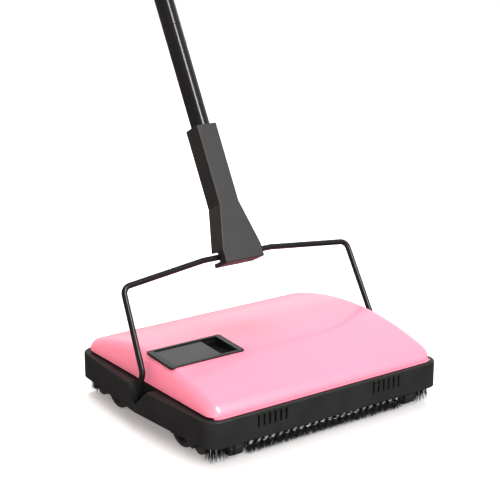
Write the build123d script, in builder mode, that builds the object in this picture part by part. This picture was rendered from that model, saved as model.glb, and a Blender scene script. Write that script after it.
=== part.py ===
from build123d import *
import os
from math import cos, hypot, radians, sin, sqrt

# Carpet sweeper with two brush rollers, two dust pans, a wire bail and a jointed tube handle.
# Millimetres. +Z is up, -Y is the front, and the floor is z = 0. The origin lies on the floor
# under the middle of the whole object, so the body stands in front of it and the handle leans
# back over it.

# ---- body -------------------------------------------------------------------------------
body_width = 280  # across the four corners, along X
body_depth = 240  # front to back
bulge = 8  # how far each short side swells out at its middle
corner_radius = 14
skirt_bottom = 18.5
skirt_top = 45.5
wall = 2.5
rim_width = 17  # flat rim round the top of the skirt
rim_thickness = 3
ledge = 4.8  # rim left showing round the cover
seam = 1.8  # dark gap between the cover and the rim

# ---- cover ------------------------------------------------------------------------------
cover_thickness = 2.2
cover_crown = 76.5  # height of the top along the middle
cover_arch = 333  # radius of the arch from front to back
cover_corner = 12
cover_round = 10  # rounding along the edges of the top

# ---- brush rollers ----------------------------------------------------------------------
roller_radius = 11
roller_y = 108.5  # each roller's distance from the middle of the body
bristle_half = 94
collar_radius = 7.5
journal_radius = 3.5
core_radius = 1.6
bulkhead_x = 95.5  # inner face of each bulkhead
bulkhead_thickness = 2.5

# ---- wheels and idlers ------------------------------------------------------------------
wheel_radius = 20.5
wheel_y = 59
tyre_x = 123
tyre_width = 9
tyre_depth = 5
axle_radius = 2
idler_pin_radius = 1.5
drive_gap = 0.3
running = 0.05  # radial clearance of a turning fit

# ---- edge brushes -----------------------------------------------------------------------
brush_x = 123.8
brush_y = 105.6
brush_width = 13
brush_depth = 7
brush_round = 2.5
brush_set = 7  # how far each bundle is let into its corner block

# ---- dust pans --------------------------------------------------------------------------
pan_hinge_y = 15
pan_hinge_z = 20
pan_floor = 8
pan_outer_y = 94
pan_half_width = 92.5
pan_sheet = 1.2
rod_radius = 1.5
knuckle_radius = 3.2

# ---- dust pan release -------------------------------------------------------------------
latch_x = -89.9
latch_y = -21.5
latch_length = 86.2
latch_width = 46
bezel_corner = 3.5
latch_tilt = 3.7  # follows the arch of the cover
slider_length = 54
slider_width = 38.4
slider_travel = 16

# ---- bail and handle --------------------------------------------------------------------
wire_radius = 3
pivot_z = 31
pivot_x = 146
kink = (143.3, -10.2, 60.3)
shoulder_x = 139.1
bail_reach = 85.6  # from the kink up to the shoulder
crook_half = 42  # half of the straight bar in the middle
crook_rise = 10.5
lean = 28.5  # bail and handle lean back by this angle
socket_half_depth = 11.75
socket_neck = 12.2  # half the width of the narrow part
socket_foot = 23.3  # half the width of the flared foot
socket_top = 137
tube_bottom = 62
tube_small = 9.1
tube_large = 10.0
tube_wall = 0.8
joint_heights = (231, 462, 693)
tube_overlap = 34
grip_bottom = 815
grip_end = 945
grip_radius = 13
grip_round = 9
hang_hole_radius = 4

# ---- derived sizes ----------------------------------------------------------------------
half_width = body_width / 2
half_depth = body_depth / 2
lean_y = sin(radians(lean))
lean_z = cos(radians(lean))
bar_y = kink[1] + (bail_reach + crook_rise) * lean_y
bar_z = kink[2] + (bail_reach + crook_rise) * lean_z
grip_shoulder = grip_radius - grip_round
back_end = bar_y + (grip_end - grip_round) * lean_y + grip_shoulder * lean_z + grip_round
body_y = -(back_end - half_depth) / 2
bulkhead_outer = bulkhead_x + bulkhead_thickness
drive_span = hypot(roller_y - wheel_y, wheel_radius - roller_radius)
idler_radius = (drive_span - wheel_radius - collar_radius - 2 * drive_gap) / 2
idler_share = (wheel_radius + drive_gap + idler_radius) / drive_span
idler_y = wheel_y + (roller_y - wheel_y) * idler_share
idler_z = wheel_radius + (roller_radius - wheel_radius) * idler_share
cover_bottom = skirt_top + seam
post_spacing = (2 * 104.5, 2 * 106)  # of the cover's four screw posts

SIDES = (("left", -1), ("right", 1))
ENDS = (("front", -1), ("rear", 1))

os.makedirs("parts", exist_ok=True)


def level(z):
    """Horizontal plane through the middle of the body."""
    return Plane(origin=(0, body_y, z))


def across(x):
    """Plane facing +X: its first axis runs to the back and its second runs up."""
    return Plane(origin=(x, body_y, 0), x_dir=(0, 1, 0), z_dir=(1, 0, 0))


def facing_front(y):
    """Plane facing -Y: its first axis runs along +X and its second runs up."""
    return Plane(origin=(0, body_y + y, 0), x_dir=(1, 0, 0), z_dir=(0, -1, 0))


def along_handle(s):
    """Plane square to the handle, s above the bail's bar; its second axis faces back."""
    origin = (0, body_y + bar_y + s * lean_y, bar_z + s * lean_z)
    return Plane(origin=origin, x_dir=(1, 0, 0), z_dir=(0, lean_y, lean_z))


def finish(piece, name):
    piece.part.label = name
    export_step(piece.part, f"parts/{name}.step")


def skirt_outline(inset):
    """Plan of the skirt: straight long sides, short sides swelling to a blunt point."""
    x = half_width - inset
    y = half_depth - inset
    with BuildSketch() as outline:
        with BuildLine():
            Polyline((-x, -y), (x, -y), (x + bulge, 0), (x, y), (-x, y), (-x - bulge, 0), close=True)
        make_face()
        fillet(outline.vertices().filter_by(lambda v: abs(v.Y) > 1), corner_radius - inset)
    return outline.sketch


def cover_form(inset):
    """Solid under the cover's skin, with the skin moved in by inset."""
    width = body_width - 2 * (ledge + inset)
    depth = body_depth - 2 * (ledge + inset)
    with BuildPart() as form:
        with BuildSketch(level(cover_bottom)):
            RectangleRounded(width, depth, cover_corner - inset)
        extrude(amount=cover_crown, taper=3)
        with BuildSketch(across(0)):
            with Locations((0, cover_crown - inset - cover_arch)):
                Circle(cover_arch)
        extrude(amount=half_width, both=True, mode=Mode.INTERSECT)
        top = form.faces().sort_by(Axis.Z)[-1]
        fillet(top.edges(), cover_round - inset)
    return form.part


# The skirt, rim and everything that is moulded in one piece with them.
with BuildPart() as base_housing:
    with BuildSketch(level(skirt_bottom)):
        add(skirt_outline(0))
        add(skirt_outline(wall), mode=Mode.SUBTRACT)
    extrude(amount=skirt_top - skirt_bottom)
    with BuildSketch(level(skirt_top - rim_thickness)):
        add(skirt_outline(0))
        Rectangle(body_width - 2 * rim_width, body_depth - 2 * rim_width, mode=Mode.SUBTRACT)
    extrude(amount=rim_thickness)
    rim_edges = base_housing.faces().sort_by(Axis.Z)[-1].outer_wire().edges()
    fillet(rim_edges, 2)
    # Upstand that the cover drops over.
    upstand_inset = ledge + cover_thickness + 0.8
    with BuildSketch(level(skirt_top)):
        upstand_width = body_width - 2 * upstand_inset
        upstand_depth = body_depth - 2 * upstand_inset
        RectangleRounded(upstand_width, upstand_depth, 9)
        RectangleRounded(upstand_width - 3, upstand_depth - 3, 8, mode=Mode.SUBTRACT)
    extrude(amount=4)
    # Bulkheads at the ends of the rollers and pans, and the beam between them.
    for side, s in SIDES:
        with BuildSketch(across(s * bulkhead_x)):
            with Locations((0, (17 + skirt_top) / 2)):
                Rectangle(body_depth - 2 * wall, skirt_top - 17)
        extrude(amount=s * bulkhead_thickness)
    with BuildSketch(across(0)):
        with Locations((0, 34)):
            Rectangle(8, 16)
    extrude(amount=bulkhead_x, both=True)
    for side, s in SIDES:
        # Pocket for the bail's foot, with a notch that is open at the top.
        with BuildSketch(level(20)):
            add(skirt_outline(0))
            with Locations((s * 142, -4)):
                Rectangle(22, 54, mode=Mode.INTERSECT)
        extrude(amount=skirt_top - 2.5 - 20)
        with BuildSketch(across(s * 135)):
            with BuildLine():
                Polyline((0.8, 24.9), (-24.5, skirt_top + 3), (15, skirt_top + 3), close=True)
            make_face()
        extrude(amount=s * 20, mode=Mode.SUBTRACT)
        with BuildSketch(across(s * 130)):
            with Locations((0, pivot_z)):
                Circle(5)
        extrude(amount=s * 6, mode=Mode.SUBTRACT)
    for end, e in ENDS:
        for side, s in SIDES:
            # Corner block that holds the edge brush.
            with BuildSketch(level(skirt_bottom)):
                add(skirt_outline(1))
                with Locations((s * 127.5, e * 110.65)):
                    Rectangle(25, 18.7, mode=Mode.INTERSECT)
            extrude(amount=12)
            # Bracket over the roller's bearing block.
            with BuildSketch(across(s * 109)):
                with Locations((e * 111, 31)):
                    Rectangle(14, 25)
            extrude(amount=s * 6)
            with BuildSketch(across(s * 110)):
                with Locations((e * roller_y, 22)):
                    Rectangle(8, 7.5)
            extrude(amount=s * 4, mode=Mode.SUBTRACT)
            # Bosses for the wheel axle and the idler pin.
            with BuildSketch(across(s * bulkhead_x)):
                with Locations((e * wheel_y, wheel_radius), (e * idler_y, idler_z)):
                    Circle(4.5)
            extrude(amount=s * bulkhead_thickness)
            with BuildSketch(across(s * 138.2)):
                with Locations((e * wheel_y, wheel_radius)):
                    Circle(4)
            extrude(amount=s * 4.5)
            with BuildSketch(across(s * 134.5)):
                with Locations((e * idler_y, idler_z)):
                    Circle(3)
                with Locations((e * idler_y, (idler_z + 30) / 2)):
                    Rectangle(6, 30 - idler_z)
            extrude(amount=s * 6)
            with BuildSketch(across(s * (bulkhead_x - 1))):
                with Locations((e * wheel_y, wheel_radius)):
                    Circle(axle_radius)
                with Locations((e * idler_y, idler_z)):
                    Circle(idler_pin_radius)
                with Locations((e * pan_hinge_y, pan_hinge_z)):
                    Circle(rod_radius)
            extrude(amount=s * 6, mode=Mode.SUBTRACT)
            with BuildSketch(across(s * 137)):
                with Locations((e * wheel_y, wheel_radius)):
                    Circle(axle_radius)
            extrude(amount=s * 4, mode=Mode.SUBTRACT)
            with BuildSketch(across(s * 134)):
                with Locations((e * idler_y, idler_z)):
                    Circle(idler_pin_radius)
            extrude(amount=s * 5, mode=Mode.SUBTRACT)
            # Pocket that the edge brush is set in.
            with BuildSketch(level(skirt_bottom)):
                with Locations((s * brush_x, e * brush_y)):
                    RectangleRounded(brush_width, brush_depth, brush_round)
            extrude(amount=brush_set, mode=Mode.SUBTRACT)
    # Vent slots in the front wall, in two groups.
    with BuildSketch(facing_front(-half_depth + wall + 1)):
        for side, s in SIDES:
            with Locations((s * 69.5, 35.5)):
                with GridLocations(6.4, 1, 6, 1):
                    SlotOverall(12.5, 2.3, rotation=90)
    extrude(amount=wall + 2, mode=Mode.SUBTRACT)
    # Screw holes under the cover's posts.
    with BuildSketch(level(skirt_top - rim_thickness - 1)):
        with GridLocations(*post_spacing, 2, 2):
            Circle(2)
    extrude(amount=rim_thickness + 2, mode=Mode.SUBTRACT)
finish(base_housing, "base_housing")


# Painted shell over the whole body, with four screw posts inside.
latch_z = cover_crown - cover_arch + sqrt(cover_arch**2 - latch_y**2)
latch_top = Plane(
    origin=(latch_x, body_y + latch_y, latch_z),
    x_dir=(1, 0, 0),
    z_dir=(0, -sin(radians(latch_tilt)), cos(radians(latch_tilt))),
)
opening_length = slider_length + slider_travel + 2.4
opening_width = slider_width + 0.6
tray_wall = 1.5
tray_depth = 9

with BuildPart() as cover_posts:
    with BuildSketch(level(cover_bottom)):
        with GridLocations(*post_spacing, 2, 2):
            Circle(4)
    extrude(amount=30)
    add(cover_form(1), mode=Mode.INTERSECT)
    with BuildSketch(level(skirt_top)):
        with GridLocations(*post_spacing, 2, 2):
            Circle(4)
    extrude(amount=seam)

with BuildPart() as top_cover:
    add(cover_form(0))
    add(cover_form(cover_thickness), mode=Mode.SUBTRACT)
    add(cover_posts.part)
    with BuildSketch(level(skirt_top)):
        with GridLocations(*post_spacing, 2, 2):
            Circle(1.5)
    extrude(amount=8.5, mode=Mode.SUBTRACT)
    with BuildSketch(latch_top.offset(-1.6)):
        RectangleRounded(latch_length, latch_width, bezel_corner)
    extrude(amount=6, mode=Mode.SUBTRACT)
    with BuildSketch(latch_top.offset(-tray_depth)):
        Rectangle(opening_length + 2 * tray_wall, opening_width + 2 * tray_wall)
    extrude(amount=tray_depth, mode=Mode.SUBTRACT)
finish(top_cover, "top_cover")

# Four self-tapping screws, driven from below.
with BuildPart() as cover_screws:
    with BuildSketch(level(skirt_top - rim_thickness)):
        with GridLocations(*post_spacing, 2, 2):
            Circle(1.5)
    extrude(amount=11)
    with BuildSketch(level(skirt_top - rim_thickness)):
        with GridLocations(*post_spacing, 2, 2):
            Circle(3.6)
    extrude(amount=-2.4)
    with BuildSketch(level(skirt_top - rim_thickness - 2.4)):
        with GridLocations(*post_spacing, 2, 2):
            Rectangle(4.6, 0.9)
            Rectangle(0.9, 4.6)
    extrude(amount=1.2, mode=Mode.SUBTRACT)
finish(cover_screws, "cover_screws")

# Tray for the release slider, with a bezel that stands a little proud of the cover.
stem_x = -15
with BuildPart() as latch_bezel:
    with BuildSketch(latch_top.offset(-1.6)):
        RectangleRounded(latch_length, latch_width, bezel_corner)
        Rectangle(opening_length, opening_width, mode=Mode.SUBTRACT)
    extrude(amount=2.1)
    bezel_face = latch_bezel.faces().sort_by(Axis(latch_top.origin, latch_top.z_dir))[-1]
    fillet(bezel_face.outer_wire().edges(), 0.8)
    with BuildSketch(latch_top.offset(-tray_depth)):
        Rectangle(opening_length + 2 * tray_wall, opening_width + 2 * tray_wall)
        Rectangle(opening_length, opening_width, mode=Mode.SUBTRACT)
    extrude(amount=tray_depth - 1.6)
    with BuildSketch(latch_top.offset(-tray_depth)):
        Rectangle(opening_length, opening_width)
        with Locations((stem_x + slider_travel / 2, 0)):
            Rectangle(slider_travel + 9, 8, mode=Mode.SUBTRACT)
    extrude(amount=tray_wall)
    with BuildSketch(latch_top.offset(-tray_depth + tray_wall)):
        with Locations((0, opening_width / 2 - 1), (0, 1 - opening_width / 2)):
            Rectangle(opening_length, 2)
    extrude(amount=4)
finish(latch_bezel, "latch_bezel")

slider_x = (slider_length - opening_length) / 2 + 0.35
with BuildPart() as latch_slider:
    with BuildSketch(latch_top.offset(-3.2)):
        with Locations((slider_x, 0)):
            Rectangle(slider_length, slider_width)
    extrude(amount=2.6)
    fillet(latch_slider.faces().sort_by(Axis(latch_top.origin, latch_top.z_dir))[-1].edges(), 0.5)
    with BuildSketch(latch_top.offset(-12)):
        with Locations((stem_x, 0)):
            Rectangle(7, 6.6)
    extrude(amount=9)
finish(latch_slider, "latch_slider")

# Bar that carries the slider's motion to the middle of the body.
bar_tip_x = 32
with BuildPart() as release_bar:
    with BuildSketch(latch_top.offset(-14.5)):
        with Locations(((bar_tip_x + 4 - 22) / 2, 0)):
            Rectangle(bar_tip_x + 4 + 22, 10)
        with Locations((bar_tip_x, 8)):
            Rectangle(8, 30)
    extrude(amount=2.5)
    with BuildSketch(level(skirt_top - 2.5)):
        with Locations((latch_x + bar_tip_x, -2)):
            Rectangle(8, 3)
    extrude(amount=latch_z - 12 - skirt_top + 2.5)
finish(release_bar, "release_bar")

# Return spring inside the tray, between its end wall and the slider's stem.
spring_radius = 1.5
spring_start = -opening_length / 2
spring_length = stem_x - 3.5 - spring_start
spring_end = latch_top.from_local_coords((spring_start + 0.5, 0, -5.3))
with BuildPart() as release_spring:
    with BuildLine() as coil:
        Helix(2.1, spring_length - 1, spring_radius, center=spring_end, direction=(1, 0, 0))
    with BuildSketch(Plane(origin=coil.line @ 0, z_dir=coil.line % 0)):
        Circle(0.3)
    sweep(is_frenet=True)
finish(release_spring, "release_spring")

# ---- dust pans --------------------------------------------------------------------------
for end, e in ENDS:
    with BuildPart() as hinge_rod:
        with BuildSketch(across(0)):
            with Locations((e * pan_hinge_y, pan_hinge_z)):
                Circle(rod_radius)
        extrude(amount=bulkhead_outer + 1, both=True)
    finish(hinge_rod, f"pan_hinge_rod_{end}")

    # Folded sheet: knuckle, inner wall, floor and a lip that rises towards the roller.
    with BuildPart() as dust_pan:
        with BuildSketch(across(-pan_half_width)):
            with BuildLine():
                Polyline(
                    (e * pan_hinge_y, pan_hinge_z),
                    (e * (pan_hinge_y + 1), pan_floor),
                    (e * (pan_outer_y - 6), pan_floor),
                    (e * (pan_outer_y + 1.5), pan_floor + 8),
                )
                offset(amount=pan_sheet / 2)
            make_face()
            with Locations((e * pan_hinge_y, pan_hinge_z)):
                Circle(knuckle_radius)
        extrude(amount=2 * pan_half_width)
        for side, s in SIDES:
            with BuildSketch(across(s * pan_half_width)):
                with BuildLine():
                    Polyline(
                        (e * pan_hinge_y, pan_hinge_z),
                        (e * (pan_hinge_y + 1), pan_floor),
                        (e * (pan_outer_y - 6), pan_floor),
                        (e * (pan_outer_y + 1.5), pan_floor + 8),
                        close=True,
                    )
                make_face()
            extrude(amount=-s * pan_sheet)
        with BuildSketch(across(-pan_half_width)):
            with Locations((e * pan_hinge_y, pan_hinge_z)):
                Circle(rod_radius + running)
        extrude(amount=2 * pan_half_width, mode=Mode.SUBTRACT)
    finish(dust_pan, f"dust_pan_{end}")

# ---- brush rollers ----------------------------------------------------------------------
hub_start = bristle_half + 0.3
collar_start = bulkhead_outer + 1.5
collar_end = collar_start + 10
journal_end = collar_end + 5.5
for end, e in ENDS:
    with BuildPart() as roller_core:
        with BuildSketch(across(0)):
            with Locations((e * roller_y, roller_radius)):
                Circle(core_radius)
        extrude(amount=collar_start, both=True)
    finish(roller_core, f"roller_core_{end}")

    with BuildPart() as roller_bristles:
        with BuildSketch(across(0)):
            with Locations((e * roller_y, roller_radius)):
                Circle(roller_radius)
                Circle(core_radius, mode=Mode.SUBTRACT)
        extrude(amount=bristle_half, both=True)
    finish(roller_bristles, f"roller_bristles_{end}")

    for side, s in SIDES:
        # Stepped drum: inner journal, eight-sided drive collar and outer journal.
        with BuildPart() as roller_hub:
            with BuildSketch(across(s * hub_start)):
                with Locations((e * roller_y, roller_radius)):
                    Circle(journal_radius)
            extrude(amount=s * (journal_end - hub_start))
            with BuildSketch(across(s * collar_start)):
                with Locations((e * roller_y, roller_radius)):
                    Circle(collar_radius)
            extrude(amount=s * (collar_end - collar_start))
            chamfer(roller_hub.edges().filter_by(lambda edge: edge.radius == collar_radius
                    if edge.geom_type == GeomType.CIRCLE else False), 1)
            with BuildSketch(across(s * hub_start)):
                with Locations((e * roller_y, roller_radius)):
                    Circle(core_radius)
            extrude(amount=s * (collar_start - hub_start), mode=Mode.SUBTRACT)
        finish(roller_hub, f"roller_hub_{end}_{side}")

        with BuildPart() as bearing_block:
            with BuildSketch(across(s * 110)):
                with Locations((e * roller_y, (5 + 25.75) / 2)):
                    Rectangle(8, 25.75 - 5)
                with Locations((e * roller_y, roller_radius)):
                    Circle(5.6)
                    Circle(journal_radius + running, mode=Mode.SUBTRACT)
            extrude(amount=s * 4)
        finish(bearing_block, f"bearing_block_{end}_{side}")

        # ---- wheel, its axle and the idler between wheel and roller ---------------------
        with BuildPart() as wheel_tyre:
            with BuildSketch(across(s * tyre_x)):
                with Locations((e * wheel_y, wheel_radius)):
                    Circle(wheel_radius)
                    Circle(wheel_radius - tyre_depth, mode=Mode.SUBTRACT)
            extrude(amount=s * tyre_width)
            fillet(wheel_tyre.faces().filter_by(Axis.X).edges().group_by(SortBy.RADIUS)[-1], 1.5)
        finish(wheel_tyre, f"wheel_tyre_{end}_{side}")

        with BuildPart() as wheel_hub:
            with BuildSketch(across(s * (tyre_x + 1))):
                with Locations((e * wheel_y, wheel_radius)):
                    Circle(wheel_radius - tyre_depth)
            extrude(amount=s * (tyre_width - 2))
            with BuildSketch(across(s * (tyre_x + 3.2))):
                with Locations((e * wheel_y, wheel_radius)):
                    Circle(wheel_radius - tyre_depth - 2)
                    Circle(7.5, mode=Mode.SUBTRACT)
            extrude(amount=-s * 5, mode=Mode.SUBTRACT)
            with BuildSketch(across(s * (tyre_x + tyre_width - 3.2))):
                with Locations((e * wheel_y, wheel_radius)):
                    Circle(wheel_radius - tyre_depth - 2)
                    Circle(7.5, mode=Mode.SUBTRACT)
            extrude(amount=s * 5, mode=Mode.SUBTRACT)
            with BuildSketch(across(s * (bulkhead_outer + 1))):
                with Locations((e * wheel_y, wheel_radius)):
                    Circle(5.5)
            extrude(amount=s * (137.5 - bulkhead_outer - 1))
            with BuildSketch(across(s * (bulkhead_outer + 1))):
                with Locations((e * wheel_y, wheel_radius)):
                    Circle(axle_radius + running)
            extrude(amount=s * 40, mode=Mode.SUBTRACT)
        finish(wheel_hub, f"wheel_hub_{end}_{side}")

        with BuildPart() as wheel_axle:
            with BuildSketch(across(s * (bulkhead_x - 1))):
                with Locations((e * wheel_y, wheel_radius)):
                    Circle(axle_radius)
            extrude(amount=s * (141 - bulkhead_x + 1))
        finish(wheel_axle, f"wheel_axle_{end}_{side}")

        with BuildPart() as idler:
            with BuildSketch(across(s * (bulkhead_outer + 1.5))):
                with Locations((e * idler_y, idler_z)):
                    Circle(idler_radius)
                    Circle(idler_pin_radius + running, mode=Mode.SUBTRACT)
            extrude(amount=s * (132 - bulkhead_outer - 1.5))
        finish(idler, f"idler_{end}_{side}")

        # Edge brush: a bundle set in the corner block, spreading towards the floor.
        with BuildPart() as edge_brush:
            with BuildSketch(level(skirt_bottom)):
                with Locations((s * brush_x, e * brush_y)):
                    RectangleRounded(brush_width, brush_depth, brush_round)
            extrude(amount=brush_set)
            with BuildSketch(level(skirt_bottom)):
                with Locations((s * brush_x, e * brush_y)):
                    RectangleRounded(brush_width, brush_depth, brush_round)
            extrude(amount=-skirt_bottom, taper=-5)
        finish(edge_brush, f"edge_brush_{end}_{side}")

# Four short pins that the idlers turn on.
with BuildPart() as idler_pins:
    for side, s in SIDES:
        with BuildSketch(across(s * (bulkhead_x - 1))):
            with Locations((-idler_y, idler_z), (idler_y, idler_z)):
                Circle(idler_pin_radius)
        extrude(amount=s * (138.5 - bulkhead_x + 1))
finish(idler_pins, "idler_pins")

# ---- bail -------------------------------------------------------------------------------
for side, s in SIDES:
    with BuildPart() as bail_bush:
        with BuildSketch(across(s * 135)):
            with Locations((0, pivot_z)):
                Circle(5)
        extrude(amount=-s * 4)
        with BuildSketch(across(s * 131)):
            with Locations((0, pivot_z)):
                Circle(7)
        extrude(amount=-s * 1.6)
        with BuildSketch(across(s * 136)):
            with Locations((0, pivot_z)):
                Circle(wire_radius + running)
        extrude(amount=-s * 10, mode=Mode.SUBTRACT)
    finish(bail_bush, f"bail_bush_{side}")

foot_end = 126.5
with BuildPart() as bail_clips:
    for side, s in SIDES:
        with BuildSketch(across(s * 129)):
            with Locations((0, pivot_z)):
                Circle(5.2)
                Circle(wire_radius, mode=Mode.SUBTRACT)
        extrude(amount=-s * 0.9)
finish(bail_clips, "bail_clips")


def rounded_route(points, radii):
    """Straight runs through the points, with a tangent arc of each radius at each turn."""
    corner_points = [Vector(*point) for point in points]
    start = corner_points[0]
    for before, corner, after, radius in zip(points, points[1:], points[2:], radii):
        to_before = (Vector(*before) - Vector(*corner)).normalized()
        to_after = (Vector(*after) - Vector(*corner)).normalized()
        half_angle = radians(to_before.get_angle(to_after)) / 2
        reach = radius * cos(half_angle) / sin(half_angle)
        arc_start = Vector(*corner) + to_before * reach
        arc_end = Vector(*corner) + to_after * reach
        bisector = (to_before + to_after).normalized()
        arc_middle = Vector(*corner) + bisector * (radius / sin(half_angle) - radius)
        Line(start, arc_start)
        ThreePointArc(arc_start, arc_middle, arc_end)
        start = arc_end
    Line(start, corner_points[-1])


def bail_point(x, y, z):
    return (x, body_y + y, z)


shoulder = (kink[1] + bail_reach * lean_y, kink[2] + bail_reach * lean_z)
bail_half = [
    bail_point(foot_end, 0, pivot_z),
    bail_point(pivot_x, 0, pivot_z),
    bail_point(*kink),
    bail_point(shoulder_x, *shoulder),
    bail_point(crook_half, bar_y, bar_z),
]
bail_points = bail_half + [(-x, y, z) for x, y, z in reversed(bail_half)]
bend_radii = [5, 10, 9, 14, 14, 9, 10, 5]
with BuildPart() as bail_wire:
    with BuildLine() as route:
        rounded_route(bail_points, bend_radii)
    with BuildSketch(Plane(origin=route.line @ 0, z_dir=route.line % 0)):
        Circle(wire_radius)
    sweep()
finish(bail_wire, "bail_wire")

# ---- handle -----------------------------------------------------------------------------
# The socket's face, drawn square to its depth: narrow neck, flared foot.
socket_face = Plane(
    origin=(0, body_y + bar_y, bar_z),
    x_dir=(1, 0, 0),
    z_dir=(0, -lean_z, lean_y),
)
with BuildPart() as handle_socket:
    with BuildSketch(socket_face.offset(-socket_half_depth)):
        with BuildLine():
            Polyline(
                (-socket_neck, socket_top), (-socket_neck, 52), (-socket_foot, 7), (-socket_foot, -9),
                (socket_foot, -9), (socket_foot, 7), (socket_neck, 52), (socket_neck, socket_top),
                close=True,
            )
        make_face()
    extrude(amount=2 * socket_half_depth)
    fillet(handle_socket.edges().filter_by(lambda e: 40 < e.length < 90), 1.2)
    # Bore for the lower tube.
    with BuildSketch(along_handle(tube_bottom)):
        Circle(tube_large)
    extrude(amount=100, mode=Mode.SUBTRACT)
    # Channel for the bail's bar, open to the back and below.
    with BuildSketch(across(-30)):
        with Locations((bar_y, bar_z)):
            Circle(wire_radius + running)
    extrude(amount=60, mode=Mode.SUBTRACT)
    with BuildSketch(along_handle(-4.6)):
        with Locations((0, 8)):
            Rectangle(60, 16)
    extrude(amount=11, mode=Mode.SUBTRACT)
finish(handle_socket, "handle_socket")

grip_tube_end = 905
tube_spans = (
    (tube_bottom, joint_heights[0] + tube_overlap / 2),
    (joint_heights[0] + tube_overlap / 2 + 0.5, joint_heights[1] + tube_overlap / 2),
    (joint_heights[1] + tube_overlap / 2 + 0.5, joint_heights[2] + tube_overlap / 2),
    (joint_heights[2] + tube_overlap / 2 + 0.5, grip_tube_end),
)
button_radius = 2.5
button_proud = 1.8
for number, (low, high) in enumerate(tube_spans, start=1):
    with BuildPart() as tube:
        with BuildSketch(along_handle(low)):
            Circle(tube_large)
            Circle(tube_large - tube_wall, mode=Mode.SUBTRACT)
        extrude(amount=high - low)
        if number > 1:
            # Necked end that slides into the section below.
            with BuildSketch(along_handle(low - tube_overlap)):
                Circle(tube_small)
                Circle(tube_small - tube_wall, mode=Mode.SUBTRACT)
            extrude(amount=tube_overlap)
            with BuildSketch(along_handle(low)):
                Circle(tube_large - 0.4)
                Circle(tube_small - tube_wall, mode=Mode.SUBTRACT)
            extrude(amount=0.8)
        for joint in joint_heights:
            if low - tube_overlap < joint < high:
                through = Plane(along_handle(joint).origin, x_dir=(0, lean_y, lean_z), z_dir=(1, 0, 0))
                with BuildSketch(through):
                    Circle(button_radius + running)
                extrude(amount=15, mode=Mode.SUBTRACT)
    finish(tube, f"handle_tube_{number}")

for number, joint in enumerate(joint_heights, start=1):
    centre = along_handle(joint).origin
    outward = Plane(centre, x_dir=(0, lean_y, lean_z), z_dir=(1, 0, 0))
    with BuildPart() as snap_button:
        with BuildSketch(outward.offset(tube_small - tube_wall - 1.4)):
            Circle(button_radius)
        extrude(amount=tube_large - tube_small + tube_wall + 1.4 + button_proud)
        fillet(snap_button.faces().sort_by(Axis.X)[-1].edges(), 1)
        with BuildSketch(outward.offset(tube_small - tube_wall - 2.6)):
            Rectangle(9, 6)
        extrude(amount=1.2)
    finish(snap_button, f"snap_button_{number}")

    # Bent leaf that rests on the far wall of the tube and pushes the button out.
    with BuildPart() as button_spring:
        leaf_plane = Plane(centre, x_dir=(0, lean_y, lean_z), z_dir=(0, -lean_z, lean_y))
        with BuildSketch(leaf_plane.offset(-2.5)):
            with BuildLine():
                Polyline((4, -5.3), (-12, -5.3), (-17, 0), (-12, 7.4), (6, 7.4))
                offset(amount=0.3)
            make_face()
        extrude(amount=5)
    finish(button_spring, f"button_spring_{number}")

# Moulded grip with a closed end and a hole to hang it by.
hang_hole_s = grip_end - 14
with BuildPart() as handle_grip:
    with BuildSketch(along_handle(grip_bottom)):
        Circle(grip_radius)
    extrude(amount=grip_end - grip_bottom)
    fillet(handle_grip.edges().filter_by(GeomType.CIRCLE).group_by(Axis.Z)[-1], grip_round)
    fillet(handle_grip.edges().filter_by(GeomType.CIRCLE).group_by(Axis.Z)[0], 2)
    with BuildSketch(along_handle(grip_bottom)):
        Circle(tube_large)
    extrude(amount=grip_tube_end - grip_bottom, mode=Mode.SUBTRACT)
    hole_plane = Plane(along_handle(hang_hole_s).origin, x_dir=(0, 1, 0), z_dir=(1, 0, 0))
    with BuildSketch(hole_plane):
        Circle(hang_hole_radius)
    extrude(amount=20, both=True, mode=Mode.SUBTRACT)
finish(handle_grip, "handle_grip")
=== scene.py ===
import math
import random

import bpy
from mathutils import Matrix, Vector


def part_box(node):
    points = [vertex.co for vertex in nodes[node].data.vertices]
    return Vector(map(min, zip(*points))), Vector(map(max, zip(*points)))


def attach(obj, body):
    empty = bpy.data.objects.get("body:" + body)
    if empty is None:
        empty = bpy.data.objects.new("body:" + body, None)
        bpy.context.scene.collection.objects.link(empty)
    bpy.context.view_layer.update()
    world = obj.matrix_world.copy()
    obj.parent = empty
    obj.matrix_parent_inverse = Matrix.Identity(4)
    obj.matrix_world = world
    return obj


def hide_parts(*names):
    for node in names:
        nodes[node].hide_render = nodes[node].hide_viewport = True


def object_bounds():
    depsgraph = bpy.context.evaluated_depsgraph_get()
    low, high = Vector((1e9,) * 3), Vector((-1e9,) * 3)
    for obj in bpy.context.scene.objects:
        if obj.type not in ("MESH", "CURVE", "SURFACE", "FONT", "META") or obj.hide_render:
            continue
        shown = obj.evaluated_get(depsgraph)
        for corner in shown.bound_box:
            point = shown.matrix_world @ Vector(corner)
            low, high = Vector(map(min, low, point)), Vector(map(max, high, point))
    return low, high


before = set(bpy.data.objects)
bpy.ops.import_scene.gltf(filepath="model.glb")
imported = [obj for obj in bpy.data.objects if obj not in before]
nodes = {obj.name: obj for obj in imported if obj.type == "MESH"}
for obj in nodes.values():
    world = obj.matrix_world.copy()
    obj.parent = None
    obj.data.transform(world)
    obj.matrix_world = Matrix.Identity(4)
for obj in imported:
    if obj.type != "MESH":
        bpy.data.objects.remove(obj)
cad_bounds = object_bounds()

SIDES = ("left", "right")
ENDS = ("front", "rear")
MM = 0.001
TURN = 2 * math.pi


# ---- materials ---------------------------------------------------------------------------
def new_material(name):
    """An empty Principled material, with its node tree and shader."""
    material = bpy.data.materials.new(name)
    material.use_nodes = True
    tree = material.node_tree
    return material, tree, tree.nodes["Principled BSDF"]


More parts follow.
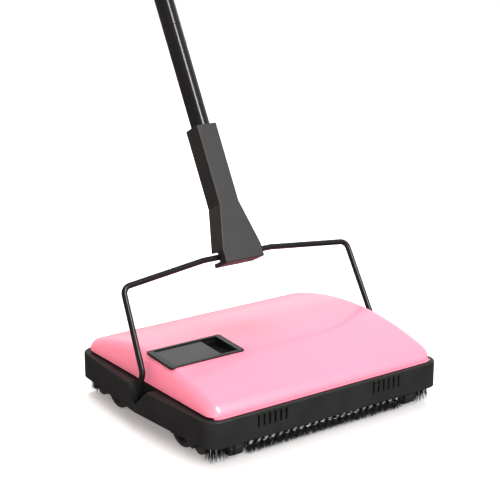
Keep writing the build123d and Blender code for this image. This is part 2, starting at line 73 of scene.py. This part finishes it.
def join(tree, source, output, target, socket):
    tree.links.new(source.outputs[output], target.inputs[socket])


def noise(tree, scale, detail=3.0, stretch=(1, 1, 1)):
    """Noise in the object's own space. Scale is in cells per metre."""
    place = tree.nodes.new("ShaderNodeTexCoord")
    mapping = tree.nodes.new("ShaderNodeMapping")
    mapping.inputs["Scale"].default_value = stretch
    texture = tree.nodes.new("ShaderNodeTexNoise")
    texture.inputs["Scale"].default_value = scale
    texture.inputs["Detail"].default_value = detail
    join(tree, place, "Object", mapping, "Vector")
    join(tree, mapping, "Vector", texture, "Vector")
    return texture


def two_tone(tree, shader, texture, dark, light):
    """Base colour that drifts between two close tones."""
    ramp = tree.nodes.new("ShaderNodeValToRGB")
    ramp.color_ramp.elements[0].position = 0.3
    ramp.color_ramp.elements[0].color = (*dark, 1)
    ramp.color_ramp.elements[1].position = 0.7
    ramp.color_ramp.elements[1].color = (*light, 1)
    join(tree, texture, "Fac", ramp, "Fac")
    join(tree, ramp, "Color", shader, "Base Color")


def uneven_gloss(tree, shader, texture, low, high):
    """Roughness that drifts between two values."""
    spread = tree.nodes.new("ShaderNodeMapRange")
    spread.inputs["From Min"].default_value = 0.3
    spread.inputs["From Max"].default_value = 0.7
    spread.inputs["To Min"].default_value = low
    spread.inputs["To Max"].default_value = high
    join(tree, texture, "Fac", spread, "Value")
    join(tree, spread, "Result", shader, "Roughness")


def grain(tree, shader, texture, depth, edge=0.0):
    """Bump from a texture, over edges that are softened by the given radius."""
    bump = tree.nodes.new("ShaderNodeBump")
    bump.inputs["Strength"].default_value = 1.0
    bump.inputs["Distance"].default_value = depth
    join(tree, texture, "Fac", bump, "Height")
    join(tree, bump, "Normal", shader, "Normal")
    if edge:
        bevel = tree.nodes.new("ShaderNodeBevel")
        bevel.samples = 6
        bevel.inputs["Radius"].default_value = edge
        join(tree, bevel, "Normal", bump, "Normal")


def surface(name, dark, light, gloss, size=900, depth=0.00002, edge=0.0004, metal=0.0, coat=0.0,
            stretch=(1, 1, 1), specular=0.5):
    """A moulded, painted or metal surface with uneven colour and gloss and a fine grain."""
    material, tree, shader = new_material(name)
    broad = noise(tree, size / 40, 2.0)
    fine = noise(tree, size, 3.0, stretch)
    two_tone(tree, shader, broad, dark, light)
    uneven_gloss(tree, shader, fine, *gloss)
    grain(tree, shader, fine, depth, edge)
    shader.inputs["Metallic"].default_value = metal
    shader.inputs["Coat Weight"].default_value = coat
    shader.inputs["Coat Roughness"].default_value = 0.08
    shader.inputs["Specular IOR Level"].default_value = specular
    return material


pink = surface("pink_moulding", (0.94, 0.225, 0.325), (0.96, 0.235, 0.34), (0.34, 0.40), 260, 0.000002,
               edge=0, coat=0.5)
housing = surface("black_housing", (0.012, 0.012, 0.012), (0.016, 0.016, 0.016), (0.42, 0.50), 1800,
                  0.000012, 0.0006, specular=0.15)
gloss_black = surface("gloss_black", (0.006, 0.006, 0.006), (0.009, 0.009, 0.009), (0.16, 0.22), 500,
                      0.000004, specular=0.35)
plate = surface("slider_plate", (0.016, 0.016, 0.017), (0.020, 0.020, 0.021), (0.24, 0.30), 1500,
                0.00001)
paint = surface("black_tube_paint", (0.005, 0.005, 0.005), (0.008, 0.008, 0.008), (0.17, 0.23), 700,
                0.000008, 0.0003, specular=0.2)
socket_black = surface("socket_moulding", (0.013, 0.0125, 0.012), (0.016, 0.0155, 0.015),
                       (0.40, 0.48), 2200, 0.00002, 0.0008, specular=0.24)
grip_black = surface("grip_moulding", (0.016, 0.016, 0.016), (0.021, 0.021, 0.021), (0.5, 0.6), 1600,
                     0.00005, 0.0008)
tyre = surface("tyre_rubber", (0.014, 0.014, 0.014), (0.022, 0.022, 0.021), (0.6, 0.75), 1300, 0.00005)
steel = surface("turned_steel", (0.50, 0.50, 0.50), (0.60, 0.60, 0.61), (0.24, 0.36), 900, 0.00001,
                0.0002, metal=1.0, stretch=(1, 6, 6))
wire_steel = surface("bright_wire", (0.86, 0.86, 0.86), (0.92, 0.92, 0.92), (0.3, 0.4), 1500, 0.00001,
                     0, metal=0.25)
bristle_black = surface("bristle_black", (0.004, 0.004, 0.004), (0.010, 0.010, 0.0095), (0.45, 0.6), 900,
                        0.000005, 0, specular=0.25)
# White fibres: painted highlights that stand for glints on the black edge-brush bristles.
painted_glint_fibre = surface("painted_glint_fibre", (0.60, 0.60, 0.58), (0.75, 0.75, 0.72), (0.4, 0.5), 900,
                        0.000005, 0)


# ---- mesh building -----------------------------------------------------------------------
def add_mesh(name, vertices, faces, materials, body, slot, indices=None):
    """A new piece made from vertices and faces, riding on a body."""
    mesh = bpy.data.meshes.new(name)
    mesh.from_pydata(vertices, [], faces)
    for material in materials:
        mesh.materials.append(material)
    for number, polygon in enumerate(mesh.polygons):
        polygon.use_smooth = True
        if indices:
            polygon.material_index = indices[number]
    mesh.update()
    piece = bpy.data.objects.new(name, mesh)
    bpy.context.scene.collection.objects.link(piece)
    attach(piece, body)
    return piece


def square_to(direction):
    """Two unit vectors at right angles to a direction."""
    across = direction.orthogonal().normalized()
    return across, direction.cross(across).normalized()


def strand(vertices, faces, points, radii):
    """Adds a three-sided fibre through the points, tapering to a tip at the last one."""
    start = len(vertices)
    across, along = square_to((points[-1] - points[0]).normalized())
    for point, radius in zip(points[:-1], radii):
        for corner in range(3):
            angle = TURN * corner / 3
            vertices.append(point + radius * (math.cos(angle) * across + math.sin(angle) * along))
    vertices.append(points[-1])
    tip = len(vertices) - 1
    rings = len(points) - 1
    for ring in range(rings - 1):
        for corner in range(3):
            a = start + 3 * ring + corner
            b = start + 3 * ring + (corner + 1) % 3
            faces.append((a, b, b + 3, a + 3))
    last = start + 3 * (rings - 1)
    for corner in range(3):
        faces.append((last + corner, last + (corner + 1) % 3, tip))


def sweep(points, radius, sides):
    """Vertices and faces of a closed-ended round wire through the points."""
    vertices, faces = [], []
    side = None
    for number, point in enumerate(points):
        before = points[max(number - 1, 0)]
        after = points[min(number + 1, len(points) - 1)]
        direction = (after - before).normalized()
        if side is None:
            side = direction.orthogonal().normalized()
        side = (side - side.dot(direction) * direction).normalized()
        other = direction.cross(side)
        for corner in range(sides):
            angle = TURN * corner / sides
            vertices.append(point + radius * (math.cos(angle) * side + math.sin(angle) * other))
    for ring in range(len(points) - 1):
        for corner in range(sides):
            a = ring * sides + corner
            b = ring * sides + (corner + 1) % sides
            faces.append((a, b, b + sides, a + sides))
    faces.append(tuple(range(sides - 1, -1, -1)))
    faces.append(tuple(range(len(vertices) - sides, len(vertices))))
    return vertices, faces


def middle_of(node):
    low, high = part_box(node)
    return (low + high) / 2


# ---- cover -------------------------------------------------------------------------------
COVER_ARCH = 333 * MM  # radius of the arch from front to back
COVER_CORNER = 12 * MM
COVER_ROUND = 10 * MM
COVER_SKIN = 2.2 * MM
COVER_DRAFT = math.tan(math.radians(3))
COVER_BOTTOM = 47.3 * MM
COVER_FULLNESS = 0.97  # how far the rounding reaches in, as a part of its radius
COVER_RUN_POINTS = 44
COVER_CORNER_POINTS = 10
COVER_SIDE_RINGS = 5
COVER_ROUND_RINGS = 9
COVER_TOP_RINGS = (0.93, 0.82, 0.68, 0.52, 0.36, 0.2, 0.08)  # sizes of the rings across the top
OPENING_MARGIN = 2.5 * MM  # how far the bezel's rim overlaps the cover


def rounded_rectangle(half_x, half_y, corner, straight, turns):
    """Points round a rounded rectangle, with closely spaced points on its straight runs."""
    centres = ((1, 1), (-1, 1), (-1, -1), (1, -1))
    points = []
    for number, (sx, sy) in enumerate(centres):
        centre = Vector((sx * (half_x - corner), sy * (half_y - corner)))
        for step in range(turns + 1):
            angle = math.pi / 2 * (number + step / turns)
            points.append(centre + corner * Vector((math.cos(angle), math.sin(angle))))
        nx, ny = centres[(number + 1) % 4]
        angle = math.pi / 2 * (number + 1)
        end = Vector((nx * (half_x - corner), ny * (half_y - corner)))
        end += corner * Vector((math.cos(angle), math.sin(angle)))
        start = points[-1]
        points += [start.lerp(end, step / straight) for step in range(1, straight)]
    return points


def cover_shell():
    """The arched cover: drafted sides, a rounding that follows the arch, and a smooth top."""
    low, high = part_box("top_cover")
    centre = (low + high) / 2
    half_x = (high.x - low.x) / 2
    half_y = (high.y - low.y) / 2
    base = rounded_rectangle(half_x, half_y, COVER_CORNER, COVER_RUN_POINTS, COVER_CORNER_POINTS)

    def arch(y):
        return high.z - COVER_ARCH + math.sqrt(COVER_ARCH ** 2 - y ** 2)

    rings = []

    def inset_point(point, inset):
        """The base outline moved inwards: corners keep their centre, runs move straight in."""
        core_x = half_x - COVER_CORNER
        core_y = half_y - COVER_CORNER
        anchor = Vector((min(max(point.x, -core_x), core_x), min(max(point.y, -core_y), core_y)))
        offset = point - anchor
        return point - offset.normalized() * inset if offset.length else point

    for step in range(COVER_SIDE_RINGS):
        ring = []
        for point in base:
            spring = arch(point.y) - COVER_ROUND
            height = COVER_BOTTOM + (spring - COVER_BOTTOM) * step / COVER_SIDE_RINGS
            place = inset_point(point, COVER_DRAFT * (height - COVER_BOTTOM))
            ring.append(Vector((place.x, place.y, height)))
        rings.append(ring)
    for step in range(COVER_ROUND_RINGS + 1):
        angle = math.pi / 2 * step / COVER_ROUND_RINGS
        ring = []
        for point in base:
            lean = COVER_DRAFT * (arch(point.y) - COVER_ROUND - COVER_BOTTOM)
            inset = lean + COVER_ROUND * (1 - math.cos(angle)) * COVER_FULLNESS
            place = inset_point(point, inset)
            drop = COVER_ROUND * (1 - math.sin(angle))
            ring.append(Vector((place.x, place.y, arch(place.y) - drop)))
        rings.append(ring)
    top = rings[-1]
    for scale in COVER_TOP_RINGS:
        rings.append([Vector((p.x * scale, p.y * scale, arch(p.y * scale))) for p in top])

    count = len(base)
    vertices = [Vector((centre.x + p.x, centre.y + p.y, p.z)) for ring in rings for p in ring]
    faces = []
    for ring in range(len(rings) - 1):
        for number in range(count):
            a = ring * count + number
            b = ring * count + (number + 1) % count
            faces.append((a, b, b + count, a + count))
    vertices.append(Vector((centre.x, centre.y, arch(0))))
    last = (len(rings) - 1) * count
    for number in range(count):
        faces.append((last + number, last + (number + 1) % count, len(vertices) - 1))
    return vertices, faces


cover = add_mesh("cover_shell", *cover_shell(), [pink], "body", "pink_shell")
skin = cover.modifiers.new("skin", "SOLIDIFY")
skin.thickness = COVER_SKIN
skin.offset = -1
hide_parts("top_cover")


def cut_opening(piece):
    """Cuts the hole that the release sits in, and applies the piece's modifiers."""
    low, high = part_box("latch_bezel")
    x0, x1 = low.x + OPENING_MARGIN, high.x - OPENING_MARGIN
    y0, y1 = low.y + OPENING_MARGIN, high.y - OPENING_MARGIN
    z0, z1 = low.z - 0.01, high.z + 0.02
    outline = ((x0, y0), (x1, y0), (x1, y1), (x0, y1))
    corners = [(x, y, z) for z in (z0, z1) for x, y in outline]
    faces = [(3, 2, 1, 0), (4, 5, 6, 7)]
    faces += [(a, (a + 1) % 4, (a + 1) % 4 + 4, a + 4) for a in range(4)]
    cutter_mesh = bpy.data.meshes.new("latch_opening")
    cutter_mesh.from_pydata(corners, [], faces)
    cutter = bpy.data.objects.new("latch_opening", cutter_mesh)
    bpy.context.scene.collection.objects.link(cutter)
    opening = piece.modifiers.new("opening", "BOOLEAN")
    opening.operation = "DIFFERENCE"
    opening.object = cutter
    opening.solver = "EXACT"
    bpy.context.view_layer.update()
    depsgraph = bpy.context.evaluated_depsgraph_get()
    cut_mesh = bpy.data.meshes.new_from_object(piece.evaluated_get(depsgraph))
    piece.modifiers.clear()
    piece.data = cut_mesh
    bpy.data.objects.remove(cutter)


cut_opening(cover)
cover.data.materials.clear()
cover.data.materials.append(pink)
cover.data.shade_smooth()
cover.data.set_sharp_from_angle(angle=math.radians(40))


# ---- brush rollers -----------------------------------------------------------------------
TWIST_TURNS = 11
TWIST_HAND = -1
ROW_STEPS = 620
FIBRES_PER_STEP = 5
FIBRE_FAN = 0.30  # spread of each row round the axis, in radians
ROOT_RADIUS = 2.3 * MM
WIRE_RADIUS = 1.4 * MM
WIRE_ORBIT = WIRE_RADIUS * 0.95
ROLLER_SEEDS = {"front": 11, "rear": 12}


def roller_pieces(end):
    """Bristles in a double helix, held between two twisted wires."""
    body = "roller_" + end
    low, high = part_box("roller_bristles_" + end)
    centre = (low + high) / 2
    reach = (high.z - low.z) / 2
    length = high.x - low.x
    rng = random.Random(ROLLER_SEEDS[end])
    vertices, faces = [], []
    for step in range(ROW_STEPS):
        x = low.x + length * (step + 0.5) / ROW_STEPS
        turn = TWIST_HAND * TURN * TWIST_TURNS * (x - low.x) / length
        for half in (0, math.pi):
            for _ in range(FIBRES_PER_STEP):
                angle = turn + half + rng.gauss(0, FIBRE_FAN)
                out = Vector((0, math.cos(angle), math.sin(angle)))
                tip_x = min(max(x + rng.gauss(0, 1.3 * MM), low.x), high.x)
                tip_reach = reach * rng.uniform(0.90, 1.0)
                root = Vector((x, centre.y, centre.z)) + out * ROOT_RADIUS
                tip = Vector((tip_x, centre.y, centre.z)) + out * tip_reach
                bend = root.lerp(tip, 0.55) + Vector((rng.gauss(0, 0.25 * MM), 0, 0))
                strand(vertices, faces, [root, bend, tip], (0.24 * MM, 0.22 * MM))
    bristles = add_mesh("bristles_" + end, vertices, faces, [bristle_black], body, "bristle")
    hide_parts("roller_bristles_" + end)

    core_low, core_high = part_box("roller_core_" + end)
    vertices, faces = [], []
    for half in (0, math.pi):
        points = []
        samples = 16 * TWIST_TURNS
        for step in range(samples + 1):
            x = core_low.x + (core_high.x - core_low.x) * step / samples
            turn = TWIST_HAND * TURN * TWIST_TURNS * (x - low.x) / length + half + math.pi / 2
            aside = WIRE_ORBIT * Vector((0, math.cos(turn), math.sin(turn)))
            points.append(Vector((x, centre.y, centre.z)) + aside)
        ring_vertices, ring_faces = sweep(points, WIRE_RADIUS, 8)
        offset = len(vertices)
        vertices += ring_vertices
        faces += [tuple(v + offset for v in face) for face in ring_faces]
    core = add_mesh("twisted_wire_" + end, vertices, faces, [wire_steel], body, "steel")
    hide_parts("roller_core_" + end)


for end in ENDS:
    roller_pieces(end)


# ---- edge brushes ------------------------------------------------------------------------
TUFT_COLUMNS = 17
TUFT_ROWS = 10
TUFT_SPLAY = 7 * MM
TUFT_CLUMPING = 0.5
TUFT_GLINT_FIBRES = 0.08  # part of the fibres that is white, painted highlights that stand for glints on the black bristles


def edge_brush(end, side):
    """A tuft of stiff fibres that splays a little towards the floor."""
    node = f"edge_brush_{end}_{side}"
    low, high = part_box(node)
    centre = (low + high) / 2
    rng = random.Random(node)
    vertices, faces, kinds = [], [], []
    size = high - low
    for column in range(TUFT_COLUMNS):
        for row in range(TUFT_ROWS):
            u = (column + 0.5) / TUFT_COLUMNS - 0.5 + rng.uniform(-0.02, 0.02)
            v = (row + 0.5) / TUFT_ROWS - 0.5 + rng.uniform(-0.03, 0.03)
            root = Vector((centre.x + u * size.x * 0.86, centre.y + v * size.y * 0.82, high.z))
            spread_x = u * TUFT_SPLAY + rng.gauss(0, 0.6 * MM)
            spread_y = v * TUFT_SPLAY + rng.gauss(0, 0.5 * MM)
            short = rng.uniform(0, 1) ** 2 * 4 * MM
            tip = root + Vector((spread_x, spread_y, 0.2 * MM + short - size.z))
            clump_x = centre.x + (math.floor((u + 0.5) * 5) - 2) / 5 * size.x * 1.4
            clump_y = centre.y + (math.floor((v + 0.5) * 3) - 1) / 3 * size.y * 1.6
            tip = tip.lerp(Vector((clump_x, clump_y, tip.z)), TUFT_CLUMPING)
            bend = root.lerp(tip, 0.5) + Vector((rng.gauss(0, 0.2 * MM), rng.gauss(0, 0.2 * MM), 0))
            before = len(faces)
            strand(vertices, faces, [root, bend, tip], (0.42 * MM, 0.38 * MM))
            # A few fibres are made white as painted highlights, standing for glints on the black tuft.
            white = rng.random() < TUFT_GLINT_FIBRES
            kinds += [1 if white else 0] * (len(faces) - before)
    colours = [bristle_black, painted_glint_fibre]
    tuft = add_mesh(f"tuft_{end}_{side}", vertices, faces, colours, "body", "bristle", kinds)
    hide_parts(node)


for end in ENDS:
    for side in SIDES:
        edge_brush(end, side)


# ---- finishes of the machined and moulded parts --------------------------------------------
def finish_node(node, material):
    piece = nodes[node]
    piece.data.materials.clear()
    piece.data.materials.append(material)


finishes = {
    "base_housing": housing,
    "latch_bezel": gloss_black,
    "latch_slider": plate,
    "release_bar": housing,
    "release_spring": steel,
    "cover_screws": steel,
    "idler_pins": steel,
    "bail_wire": paint,
    "bail_clips": steel,
    "handle_socket": socket_black,
    "handle_grip": grip_black,
}
for side in SIDES:
    finishes["bail_bush_" + side] = gloss_black
for number in (1, 2, 3, 4):
    finishes[f"handle_tube_{number}"] = paint
for number in (1, 2, 3):
    finishes[f"snap_button_{number}"] = steel
    finishes[f"button_spring_{number}"] = steel
for end in ENDS:
    finishes["pan_hinge_rod_" + end] = steel
    finishes["dust_pan_" + end] = gloss_black
    for side in SIDES:
        place = f"{end}_{side}"
        finishes["roller_hub_" + place] = housing
        finishes["bearing_block_" + place] = housing
        finishes["wheel_tyre_" + place] = tyre
        finishes["wheel_hub_" + place] = housing
        finishes["wheel_axle_" + place] = steel
        finishes["idler_" + place] = tyre
for node, material in finishes.items():
    finish_node(node, material)


# ---- floor, light and camera ---------------------------------------------------------------
floor_mesh = bpy.data.meshes.new("floor")
floor_half = 14.0
floor_mesh.from_pydata(
    [(-floor_half, -floor_half, 0), (floor_half, -floor_half, 0),
     (floor_half, floor_half, 0), (-floor_half, floor_half, 0)], [], [(0, 1, 2, 3)])
floor = bpy.data.objects.new("floor", floor_mesh)
floor.location.z = -0.0004
bpy.context.scene.collection.objects.link(floor)
floor_material, floor_tree, floor_shader = new_material("pale_floor")
floor_shader.inputs["Base Color"].default_value = (0.90, 0.90, 0.90, 1)
floor_shader.inputs["Roughness"].default_value = 0.9
floor_shader.inputs["Specular IOR Level"].default_value = 0.1
floor_shader.inputs["Emission Color"].default_value = (1, 1, 1, 1)
floor_shader.inputs["Emission Strength"].default_value = 0.22
floor_mesh.materials.append(floor_material)
floor.visible_glossy = False

world = bpy.data.worlds.new("studio")
world.use_nodes = True
world_tree = world.node_tree
background = world_tree.nodes["Background"]
sky = world_tree.nodes.new("ShaderNodeTexCoord")
split = world_tree.nodes.new("ShaderNodeSeparateXYZ")
join(world_tree, sky, "Generated", split, "Vector")


def sky_ramp(axis, start, end, low, high):
    """A value that runs from low to high while the sky's direction runs from start to end."""
    ramp = world_tree.nodes.new("ShaderNodeMapRange")
    ramp.inputs["From Min"].default_value = start
    ramp.inputs["From Max"].default_value = end
    ramp.inputs["To Min"].default_value = low
    ramp.inputs["To Max"].default_value = high
    join(world_tree, split, axis, ramp, "Value")
    return ramp


# The sky brightens towards the right and darkens below the horizon.
sideways = sky_ramp("X", -1.0, 1.0, 0.56, 1.15)
upward = sky_ramp("Z", -0.30, 0.05, 0.10, 1.0)
strength = world_tree.nodes.new("ShaderNodeMath")
strength.operation = "MULTIPLY"
world_tree.links.new(sideways.outputs["Result"], strength.inputs[0])
world_tree.links.new(upward.outputs["Result"], strength.inputs[1])
join(world_tree, strength, "Value", background, "Strength")

# It is warm on the left and white on the right.
tint = world_tree.nodes.new("ShaderNodeValToRGB")
warm, white = tint.color_ramp.elements
warm.position = 0.2
warm.color = (1.0, 0.83, 0.78, 1)
white.position = 0.75
white.color = (1, 1, 1, 1)
join(world_tree, sky_ramp("X", -1.0, 1.0, 0.0, 1.0), "Result", tint, "Fac")
join(world_tree, tint, "Color", background, "Color")
bpy.context.scene.world = world

body_y = middle_of("base_housing").y
low, high = cad_bounds
focus = Vector(((low[0] + high[0]) / 2, body_y, 0.06))


def softbox(name, place, size, power, in_reflections=True, on_surfaces=True):
    """A rectangular area light aimed at the body."""
    data = bpy.data.lights.new(name, "AREA")
    data.shape = "RECTANGLE"
    data.size, data.size_y = size
    data.energy = power
    light = bpy.data.objects.new(name, data)
    light.location = focus + Vector(place)
    light.rotation_euler = (focus - light.location).to_track_quat("-Z", "Y").to_euler()
    light.visible_glossy = in_reflections
    light.visible_diffuse = on_surfaces
    bpy.context.scene.collection.objects.link(light)


softbox("overhead", (0.5, 0.9, 1.9), (1.6, 1.2), 50, in_reflections=False)
softbox("front_fill", (-0.3, -1.8, 1.2), (1.4, 1.0), 26, in_reflections=False)
softbox("tube_strip", (0.34, -1.6, 1.45), (0.42, 1.3), 85, on_surfaces=False)
softbox("low_front", (-0.9, -1.9, 0.22), (1.4, 0.3), 10)

CAMERA_LENS = 102.0
CAMERA_DISTANCE = 1.41125
CAMERA_AZIMUTH = -0.62112  # radians, to the left of the front
CAMERA_ELEVATION = 0.28782
camera_data = bpy.data.cameras.new("photo_view")
camera_data.lens = CAMERA_LENS
camera_data.sensor_width = 36
camera_data.clip_end = 50
camera = bpy.data.objects.new("photo_view", camera_data)
bpy.context.scene.collection.objects.link(camera)
target = Vector((-0.009876, body_y, 0.158812))
back = Vector((
    math.sin(CAMERA_AZIMUTH) * math.cos(CAMERA_ELEVATION),
    -math.cos(CAMERA_AZIMUTH) * math.cos(CAMERA_ELEVATION),
    math.sin(CAMERA_ELEVATION),
))
camera.location = target + back * CAMERA_DISTANCE
camera.rotation_euler = back.to_track_quat("Z", "Y").to_euler()
bpy.context.scene.camera = camera
bpy.context.scene.view_settings.view_transform = "Standard"

bpy.context.view_layer.update()
